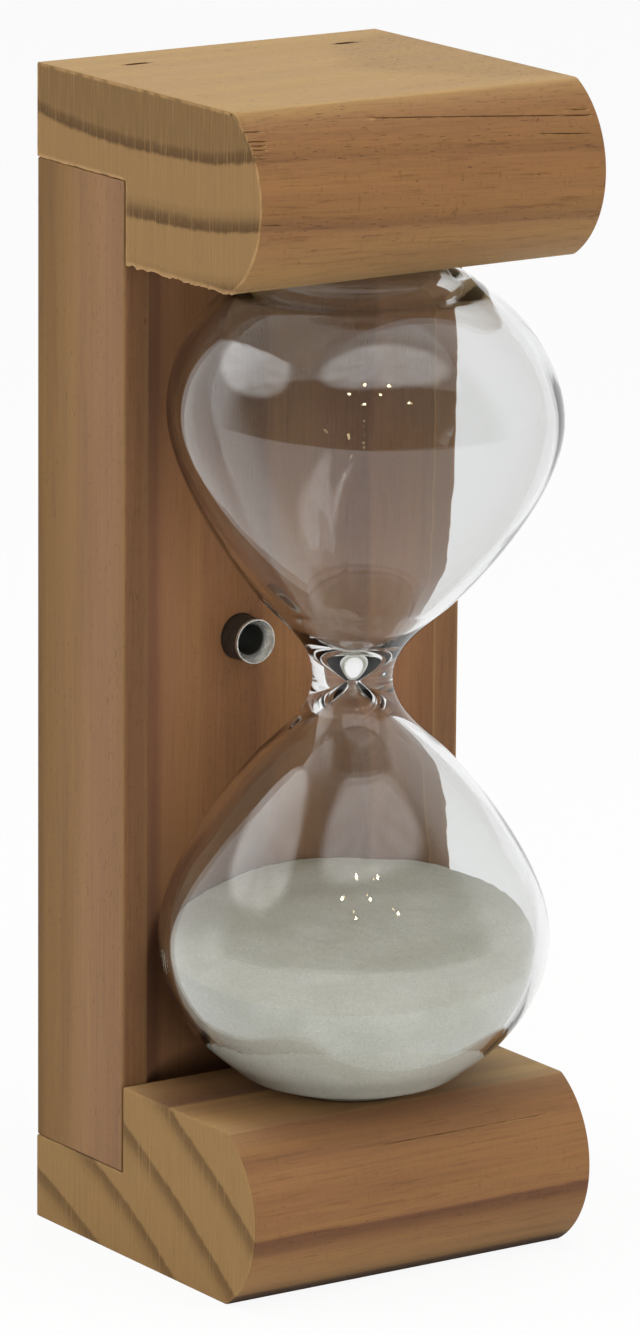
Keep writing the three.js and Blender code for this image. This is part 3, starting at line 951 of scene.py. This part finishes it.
def sand_fill():
    """The settled sand: it follows the inside of the lower bulb up to a nearly flat, leaning surface"""
    inner = inner_half(0) * UPSIDE_DOWN
    bowl = inner[inner[:, 1] <= -BULB_RISE + SAND_BOWL_RISE]
    order = np.argsort(bowl[:, 1])
    heights, radii = bowl[order, 1], bowl[order, 0] - SAND_CLEARANCE
    turn = np.linspace(0, 2 * math.pi, SAND_SIDES, endpoint=False)
    away = (-math.sin(SAND_TILT_TURN), math.cos(SAND_TILT_TURN))
    rearwards = np.cos(turn) * away[0] + np.sin(turn) * away[1]
    slope = SAND_TILT * rearwards
    level = SAND_RIM_Z - MIDDLE_Z
    rim_radius = np.full(SAND_SIDES, BULB_RADIUS - GLASS_WALL - SAND_CLEARANCE)
    for _ in range(SAND_RIM_PASSES):
        rim_radius = np.interp(level + slope * rim_radius, heights, radii)
    rim_height = level + slope * rim_radius
    ring = np.stack((np.cos(turn), np.sin(turn)), -1)
    rings = []
    floor_height = heights[0]
    for share in np.linspace(0, 1, SAND_WALL_RINGS):
        height = floor_height + (rim_height - floor_height) * (1 - math.cos(share * math.pi / 2))
        reach = np.interp(height, heights, radii)
        rings.append(np.column_stack((ring * reach[:, None], height)))
    for share in np.linspace(1, 0, SAND_TOP_RINGS)[1:]:
        reach = rim_radius * share
        height = level + slope * reach + SAND_CROWN * (1 - share**SAND_EDGE_POWER)
        rings.append(np.column_stack((ring * reach[:, None], height)))
    rings = np.array(rings)
    wall, surface = rings[:SAND_WALL_RINGS], rings[SAND_WALL_RINGS:]

    # Low down at the front the grains lie pressed into the wall
    pressed = SAND_PRESS_HEIGHT - SAND_PRESS_LEAN * rearwards
    ragged = 2.2 * wave(wall, 0.1, 9) + 0.5 * wave(wall, 1.2, 10)
    low = pressed + ragged - (wall[..., 2] - floor_height)
    arm = wall + (0, 0, BULB_RISE)
    reach = np.linalg.norm(arm, axis=-1, keepdims=True)
    wall += arm / reach * SAND_PRESS * np.clip(low / 2, 0, 1)[..., None]
    surface[..., 2] += 0.22 * wave(surface, 0.18, 6) + 0.07 * wave(surface, 0.9, 7)
    piece = make_mesh("settled_sand", *loft(in_place(rings)))
    smooth(piece, SMALL_SHARP_ANGLE)
    return piece


# Sleeve

def pivot_sleeve():
    """A plated tube from the board's rear face into the cove, where its mouth is flared"""
    length = SLEEVE_HIGH[1] - SLEEVE_LOW[1]
    lip = SLEEVE_RIM / 2
    turn = np.linspace(0, math.pi, SLEEVE_RIM_POINTS)
    rim = np.column_stack((SLEEVE_RADIUS - lip + lip * np.cos(turn), length - lip + lip * np.sin(turn)))
    mouth = np.array((SLEEVE_RADIUS - SLEEVE_RIM, length - lip))
    throat = np.array((SLEEVE_BORE, length - SLEEVE_MOUTH_DEPTH))
    flare = bezier(mouth, mouth + FLARE_MOUTH_PULL, throat + FLARE_THROAT_PULL, throat, FLARE_POINTS)
    outline = np.vstack((
        [(SLEEVE_BORE, 0), (SLEEVE_RADIUS - SLEEVE_REAR_EASE, 0), (SLEEVE_RADIUS, SLEEVE_REAR_EASE)],
        rim,
        flare[1:],
    ))
    rings = lathe(outline, DRILL_SIDES) @ TO_FRONT + (0, SLEEVE_HIGH[1], MIDDLE_Z)
    piece = make_mesh("plated_sleeve", *loft(rings, wrap_rings=True))
    smooth(piece, SMALL_SHARP_ANGLE)
    return piece


# Scene

def add_camera():
    """The camera that was solved from the photograph"""
    sine, cosine = math.sin(CAMERA_AZIMUTH), math.cos(CAMERA_AZIMUTH)
    flat = math.cos(CAMERA_ELEVATION)
    back = Vector((sine * flat, -cosine * flat, math.sin(CAMERA_ELEVATION)))
    level = Vector((cosine, sine, 0))
    upright = back.cross(level)
    right = math.cos(CAMERA_ROLL) * level + math.sin(CAMERA_ROLL) * upright
    top = back.cross(right)
    spot = Vector(CAMERA_TARGET) + back * CAMERA_DISTANCE
    spot = spot + right * CAMERA_SHIFT[0] + top * CAMERA_SHIFT[1]
    data = bpy.data.cameras.new("camera")
    data.sensor_fit = "VERTICAL"
    data.sensor_height = SENSOR_HEIGHT
    data.lens = data.sensor_height * LENS_PIXELS / IMAGE_HEIGHT
    data.clip_start = CLIP_START
    camera = bpy.data.objects.new("camera", data)
    turned = Matrix((right, top, back)).transposed().to_4x4()
    camera.matrix_world = Matrix.Translation(spot * MM) @ turned
    bpy.context.scene.collection.objects.link(camera)
    bpy.context.scene.camera = camera


def seen_ray(tree):
    """1 for a ray that shows the background to the eye or through glass, and the same for reflections"""
    path = tree.node("ShaderNodeLightPath").outputs
    seen = tree.math("MAXIMUM", path["Is Camera Ray"], path["Is Transmission Ray"])
    lit = tree.math("LESS_THAN", path["Diffuse Depth"], 0.5)
    return tree.times(seen, lit), tree.times(path["Is Glossy Ray"], lit)


FLOOR_COLOUR = (0.8, 0.8, 0.79, 1)
FLOOR_REACH = 1.3
FLOOR_SIDES = 96
FLOOR_WHITE = 0.92
FLOOR_NEAR = 0.05
FLOOR_FAR = 0.16


def add_floor():
    """A pale floor that is seen as white, and that is less white in reflections close to the object"""
    mesh = bpy.data.meshes.new("floor")
    shell = bmesh.new()
    bmesh.ops.create_circle(shell, cap_ends=True, segments=FLOOR_SIDES, radius=FLOOR_REACH)
    shell.to_mesh(mesh)
    shell.free()
    floor = bpy.data.objects.new("floor", mesh)
    bpy.context.scene.collection.objects.link(floor)
    tree = Tree(bpy.data.materials.new("pale_floor"))
    seen, mirrored = seen_ray(tree)
    pale = tree.node("ShaderNodeBsdfDiffuse", {"Color": FLOOR_COLOUR})
    white = tree.node("ShaderNodeEmission", {"Color": (1, 1, 1, 1), "Strength": 1.0})
    x, y, _ = tree.parts(tree.node("ShaderNodeTexCoord").outputs["Object"])
    far_white = tree.range(tree.length(x, y), FLOOR_NEAR, FLOOR_FAR, 0.1, 1.0)
    shown = tree.math("MAXIMUM", seen, tree.times(mirrored, far_white))
    share = tree.times(shown, FLOOR_WHITE)
    either = tree.node("ShaderNodeMixShader", {0: share, 1: pale.outputs[0], 2: white.outputs[0]})
    mesh.materials.append(tree.end(either))


AMBIENT = 0.3
ROOM_DARK = 0.2
ROOM_TINT = (1.0, 0.88, 0.72, 1)
CEILING = 0.5
CEILING_START = math.sin(math.radians(58))
CEILING_FULL = math.sin(math.radians(76))


def add_world():
    """A white backdrop, with a dim room on the camera's side that shows in the glass"""
    world = bpy.data.worlds.new("studio")
    bpy.context.scene.world = world
    tree = Tree(world)
    seen, mirrored = seen_ray(tree)
    x, y, z = tree.parts(tree.node("ShaderNodeTexCoord").outputs["Generated"])
    towards = (math.sin(CAMERA_AZIMUTH), -math.cos(CAMERA_AZIMUTH))
    side = tree.plus(tree.times(x, towards[0]), tree.times(y, towards[1]))
    front = tree.range(side, -0.1, 0.25)
    dim = tree.range(z, CEILING_START, CEILING_FULL, ROOM_DARK, CEILING)
    room = tree.mix(front, (1, 1, 1, 1), tree.mix(1.0, dim, ROOM_TINT, "MULTIPLY"))
    light = tree.mix(seen, (AMBIENT, AMBIENT, AMBIENT, 1), (1, 1, 1, 1))
    light = tree.mix(mirrored, light, room)
    shader = tree.node("ShaderNodeBackground", {"Color": light, "Strength": 1.0})
    tree.node("ShaderNodeOutputWorld", {"Surface": shader.outputs[0]})


def way_to(azimuth, elevation):
    """The direction at an angle to the right of the camera and above the floor"""
    turn = CAMERA_AZIMUTH + math.radians(azimuth)
    rise = math.radians(elevation)
    return Vector((math.sin(turn) * math.cos(rise), -math.cos(turn) * math.cos(rise), math.sin(rise)))


def add_lamp(name, kind, way, distance, power):
    """A lamp that points at the object's middle"""
    data = bpy.data.lights.new(name, kind)
    data.energy = power
    lamp = bpy.data.objects.new(name, data)
    spot = way * distance + Vector((0, 0, MIDDLE_Z * MM))
    lamp.matrix_world = Matrix.Translation(spot) @ (-way).to_track_quat("-Z", "Y").to_matrix().to_4x4()
    lamp.visible_camera = False
    bpy.context.scene.collection.objects.link(lamp)
    return lamp


UMBRELLA_PANELS = 8
CEILING_LAMP_DISTANCE = 1.8
CEILING_LAMP_POWER = 1.5
CEILING_LAMP_COLOUR = (1.0, 0.75, 0.42)
CEILING_LAMP_RADIUS = 0.022
CEILING_LAMPS = {
    "high": (2, 47), "low": (1, 33), "side": (30, 33), "near": (12, 40), "far": (20, 46), "left": (-9, 40),
}


def add_umbrella(name, way, distance, size, power):
    """A white umbrella that fades at its edge and shows in the glass"""
    data = add_lamp(name, "AREA", way, distance, power).data
    data.shape = "ELLIPSE"
    data.size, data.size_y = size
    tree = Tree(data)
    x, y, _ = tree.parts(tree.node("ShaderNodeNewGeometry").outputs["Parametric"])
    across, up = tree.minus(x, 0.5), tree.minus(y, 0.5)
    away = tree.length(across, up)
    turn = tree.times(tree.math("ARCTAN2", up, across), UMBRELLA_PANELS)
    panel = tree.range(tree.math("COSINE", turn), -1.0, 1.0, 0.92, 1.1)
    strength = tree.times(tree.range(away, 0.36, 0.5, 0.86, 0.0), panel)
    glow = tree.node("ShaderNodeEmission", {"Strength": strength})
    tree.node("ShaderNodeOutputLight", {"Surface": glow.outputs[0]})


def add_fill(name, way, distance, size, power):
    """A soft fill light, kept out of the reflections"""
    lamp = add_lamp(name, "AREA", way, distance, power)
    lamp.data.shape = "RECTANGLE"
    lamp.data.size, lamp.data.size_y = size
    lamp.visible_glossy = False
    lamp.visible_transmission = False


def add_ceiling_lamp(name, way):
    """A small warm lamp that shows as golden dots in the glass"""
    data = add_lamp(name, "POINT", way, CEILING_LAMP_DISTANCE, CEILING_LAMP_POWER).data
    data.color = CEILING_LAMP_COLOUR
    data.shadow_soft_size = CEILING_LAMP_RADIUS


def add_lights():
    """Two umbrellas, three soft fills and the small lamps of a ceiling"""
    upwards = Vector((0, 0, 1))
    add_umbrella("umbrella_front", way_to(22, 60), distance=1.0, size=(1.45, 0.6), power=3.9)
    add_umbrella("umbrella_left", way_to(-84, 38), distance=1.0, size=(1.05, 0.72), power=3.7)
    add_fill("fill_overhead", upwards, distance=1.0, size=(0.6, 0.6), power=4.6)
    add_fill("fill_front", way_to(22, 5), distance=1.3, size=(1.0, 0.35), power=7.4)
    add_fill("fill_right", way_to(70, 40), distance=1.3, size=(0.6, 0.6), power=3.5)
    for name, angles in CEILING_LAMPS.items():
        add_ceiling_lamp(f"ceiling_lamp_{name}", way_to(*angles))


# Timber colours: earlywood, latewood, both on end grain, and the painted shade on faces that face the
# front
TOP_COLOURS = (
    (0.42, 0.27, 0.112, 1),
    (0.3, 0.188, 0.082, 1),
    (0.34, 0.2, 0.076, 1),
    (0.115, 0.058, 0.015, 1),
    (0.54, 0.413, 0.372, 1),
)
BASE_COLOURS = (
    (0.42, 0.27, 0.115, 1),
    (0.185, 0.1, 0.059, 1),
    (0.34, 0.2, 0.073, 1),
    (0.17, 0.092, 0.028, 1),
    (0.545, 0.422, 0.38, 1),
)
BOARD_COLOURS = (
    (0.36, 0.2, 0.095, 1),
    (0.235, 0.121, 0.062, 1),
    (0.36, 0.22, 0.1, 1),
    (0.22, 0.125, 0.06, 1),
    (0.98, 0.87, 0.94, 1),
)
BOARD_REAR_TINT = (0.67, 0.65, 0.43, 1)
BOARD_LAND_PAINTED_SHADE = (0.58, 0.6, 0.5, 1)

# Growth rings: the pith's place across the grain, the rings' spacing and how it narrows, the radius of one
# sharp edge, where a ring's latewood starts, and how dark the wood is inside the sharp edge
TOP_RINGS = {
    "pith": (3, 297), "spacing": 9.2, "narrowing": 0.00065,
    "first": 151.6, "late_start": 0.76, "heart": 0.5,
}
BASE_RINGS = {
    "pith": (71, -117), "spacing": 9.33, "narrowing": 0.0,
    "first": 131.9, "late_start": 0.75, "heart": 0.0,
}
BOARD_RINGS = {
    "pith": (-95, 60), "spacing": 15.0, "narrowing": 0.0,
    "first": 2.0, "late_start": 0.5, "heart": 0.0,
}

# Cracks on the noses: angle above the nose's middle in degrees, start and stop along X, depth
TOP_CRACKS = (
    (47, 21.7, 25.2, 0.25),
    (43.4, -8, 25.6, 0.3),
    (35.5, -26.6, -24, 0.4),
    (32.6, 16.7, 24.3, 0.3),
    (29.2, -26.6, -23.5, 0.45),
    (26.5, -26.6, -24.2, 0.4),
    (24, -26.6, -24.4, 0.4),
    (20.7, -26.6, -24.8, 0.3),
    (-17.5, -26.2, -23.2, 0.35),
)
BASE_CRACKS = (
    (35.1, -5, 21, 0.17),
)


def dress():
    """Makes each piece, gives it its material and puts it on its body"""
    top_wood = wood("top_block_pine", "X", 1.0, TOP_RINGS, TOP_COLOURS, tilt=0.06)
    base_wood = wood("base_block_pine", "X", 4.0, BASE_RINGS, BASE_COLOURS, torn_share=0.4, painted_shade_strength=0.9)
    board_wood = wood("board_pine", "Z", 7.0, BOARD_RINGS, BOARD_COLOURS, rear_tint=BOARD_REAR_TINT,
                      land_painted_shade=BOARD_LAND_PAINTED_SHADE, torn_share=0.3, nails=False)
    glass = clear_glass()

    top_ledge = HEIGHT - BOARD_HIGH[2] - GLUE_LINE
    top = cross_block("top_block_wood", top_ledge, at_top=True, shear=-0.09, cracks=TOP_CRACKS,
                      burr=0.8, wear=1.0, seed=11)
    place(top, top_wood, "frame", "block_wood", "top_block")
    base_ledge = BOARD_LOW[2] - GLUE_LINE
    base = cross_block("base_block_wood", base_ledge, at_top=False, shear=0.0, cracks=BASE_CRACKS,
                       burr=0.0, wear=0.15, seed=27)
    place(base, base_wood, "frame", "block_wood", "base_block")
    place(back_board(), board_wood, "frame", "board_wood", "back_board")
    place(glass_vial(), glass, "frame", "glass", "glass_vial")
    place(glass_seal(), glass, "frame", "glass", "glass_seal")
    place(sand_fill(), quartz_sand(), "frame", "sand", "sand")
    place(pivot_sleeve(), tube_metal(), "pivot", "sleeve_metal", "pivot_sleeve")
    steel = nail_metal()
    for end in ("top", "base"):
        for hand in ("left", "right"):
            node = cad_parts[f"{end}_nail_{hand}"]
            node.data.materials.clear()
            node.data.materials.append(steel)


dress()
add_camera()
add_floor()
add_world()
add_lights()
bpy.context.scene.view_settings.view_transform = "Standard"
